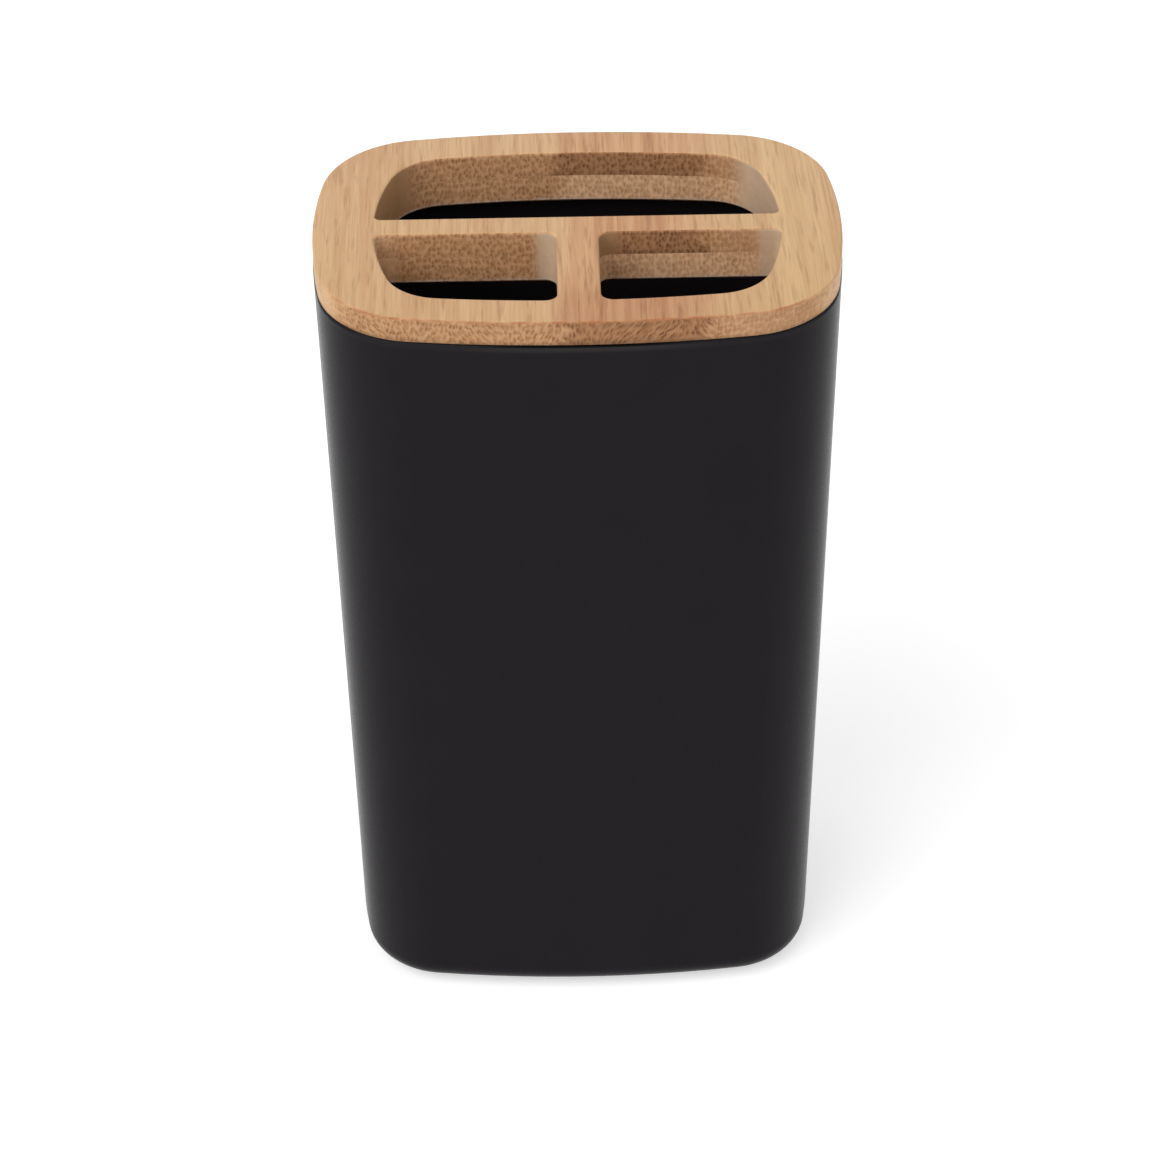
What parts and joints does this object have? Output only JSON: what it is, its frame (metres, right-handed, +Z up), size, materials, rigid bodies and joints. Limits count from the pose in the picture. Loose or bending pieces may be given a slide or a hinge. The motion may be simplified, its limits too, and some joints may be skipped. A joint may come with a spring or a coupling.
{
  "type": "toothbrush holder",
  "caption": "Upright tapered cup for toothbrushes, with a lift-off laminated bamboo lid that has a long slot at the back and shorter slots in front.",
  "frame": {"origin": "on the surface that the holder stands on, below the middle of the cup", "axes": "+Z up, +X to the right along the long side, and the two short slots towards -Y, the front"},
  "size_m": [0.075, 0.0524, 0.1235],
  "materials": {
    "cup_plastic": "satin moulded, near black",
    "bamboo_pale": "sanded pale bamboo, clear matt oil",
    "bamboo_warm": "sanded warm bamboo, clear matt oil",
    "pad_rubber": "matt soft pad"
  },
  "bodies": {
    "cup": {"cup": "cup_plastic", "pad_front_left": "pad_rubber", "pad_back_left": "pad_rubber", "pad_front_right": "pad_rubber", "pad_back_right": "pad_rubber"},
    "lid": {"cover_left_end": "bamboo_pale", "cover_back_left": "bamboo_pale", "cover_bar_left": "bamboo_pale", "cover_front_left": "bamboo_pale", "cover_back_right": "bamboo_warm", "cover_bar_and_stem": "bamboo_warm", "cover_right_end": "bamboo_pale", "plug_left_end": "bamboo_pale", "plug_back_left": "bamboo_pale", "plug_bar_left": "bamboo_pale", "plug_front_left": "bamboo_pale", "plug_back_right": "bamboo_pale", "plug_bar_and_stem": "bamboo_pale", "plug_right_end": "bamboo_pale"}
  },
  "joints": [
    {"name": "lid_lift", "type": "slide", "parent": "cup", "child": "lid", "axis": [0, 0, 1], "range_m": [0, 0.03]}
  ]
}
